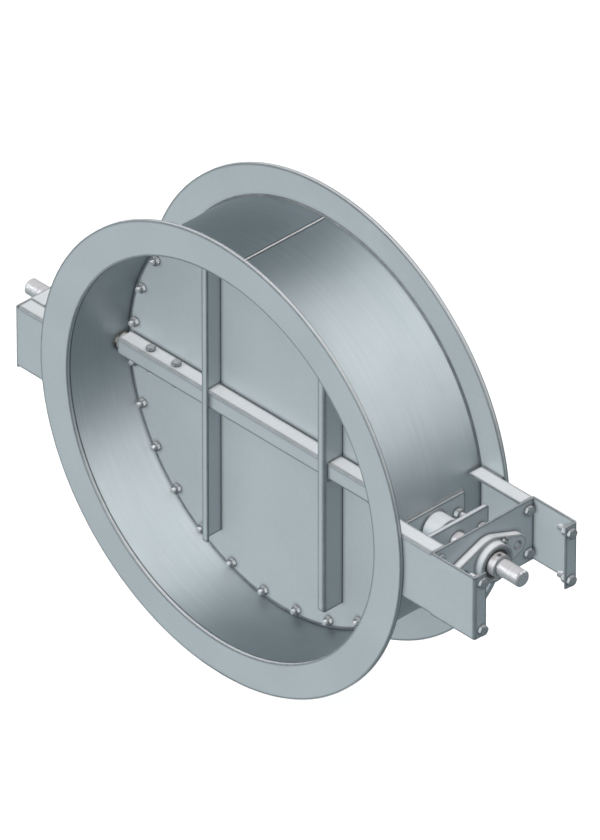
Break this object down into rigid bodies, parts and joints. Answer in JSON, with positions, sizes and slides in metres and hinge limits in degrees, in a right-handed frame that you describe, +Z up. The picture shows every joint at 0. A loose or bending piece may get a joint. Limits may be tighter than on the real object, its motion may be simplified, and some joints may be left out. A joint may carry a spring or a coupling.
{
  "type": "bubble-tight damper",
  "caption": "Round flanged duct damper: a gasketed blade turns on stub shafts in packed stuffing boxes and outboard flange bearings.",
  "frame": {"origin": "where the shaft axis crosses the duct axis, midway between the flange faces", "axes": "+X along the shaft towards the drive end, +Y along the duct from the front face to the rear face, +Z up"},
  "size_m": [0.9907, 0.208, 0.7148],
  "materials": {
    "casing_coating": "satin grey coating",
    "blade_coating": "satin grey coating",
    "seat_steel": "turned",
    "bright_steel": "ground and turned",
    "cast_housing": "painted casting",
    "zinc_fasteners": "zinc plated",
    "seal_rubber": "matt",
    "bush_bronze": "turned bronze",
    "packing_braid": "graphite braid"
  },
  "bodies": {
    "casing": {"casing_shell": "casing_coating", "front_flange": "casing_coating", "rear_flange": "casing_coating", "seat_ring": "seat_steel", "drive_arm_front": "casing_coating", "drive_arm_rear": "casing_coating", "idler_arm_front": "casing_coating", "idler_arm_rear": "casing_coating", "drive_bearing_plate": "casing_coating", "idler_bearing_plate": "casing_coating", "drive_bearing_housing": "cast_housing", "idler_bearing_housing": "cast_housing", "drive_bearing_outer_ring": "bright_steel", "idler_bearing_outer_ring": "bright_steel", "drive_bearing_seals": "seal_rubber", "idler_bearing_seals": "seal_rubber", "grease_nipples": "zinc_fasteners", "drive_throat_bush": "bush_bronze", "idler_throat_bush": "bush_bronze", "drive_stuffing_box": "casing_coating", "idler_stuffing_box": "casing_coating", "drive_packing": "packing_braid", "idler_packing": "packing_braid", "drive_gland": "casing_coating", "idler_gland": "casing_coating", "gland_studs": "zinc_fasteners", "gland_nuts": "zinc_fasteners", "bearing_plate_bolts": "zinc_fasteners", "bearing_plate_nuts": "zinc_fasteners", "bearing_bolts": "zinc_fasteners", "actuator_bolts": "zinc_fasteners", "actuator_nuts": "zinc_fasteners"},
    "blade": {"blade_plate": "blade_coating", "blade_gasket": "seal_rubber", "retainer_ring": "blade_coating", "rim_bolts": "zinc_fasteners", "rim_nuts": "zinc_fasteners", "drive_side_stiffener": "blade_coating", "idler_side_stiffener": "blade_coating", "shaft_tube": "blade_coating", "drive_shaft": "bright_steel", "idler_shaft": "bright_steel", "beam_bolts": "zinc_fasteners", "beam_nuts": "zinc_fasteners", "drive_bearing_inner_ring": "bright_steel", "idler_bearing_inner_ring": "bright_steel", "bearing_set_screws": "zinc_fasteners"}
  },
  "joints": [
    {"name": "blade_turn", "type": "hinge", "parent": "casing", "child": "blade", "pos_m": [0, 0, 0], "axis": [1, 0, 0], "range_deg": [0, 90]}
  ]
}
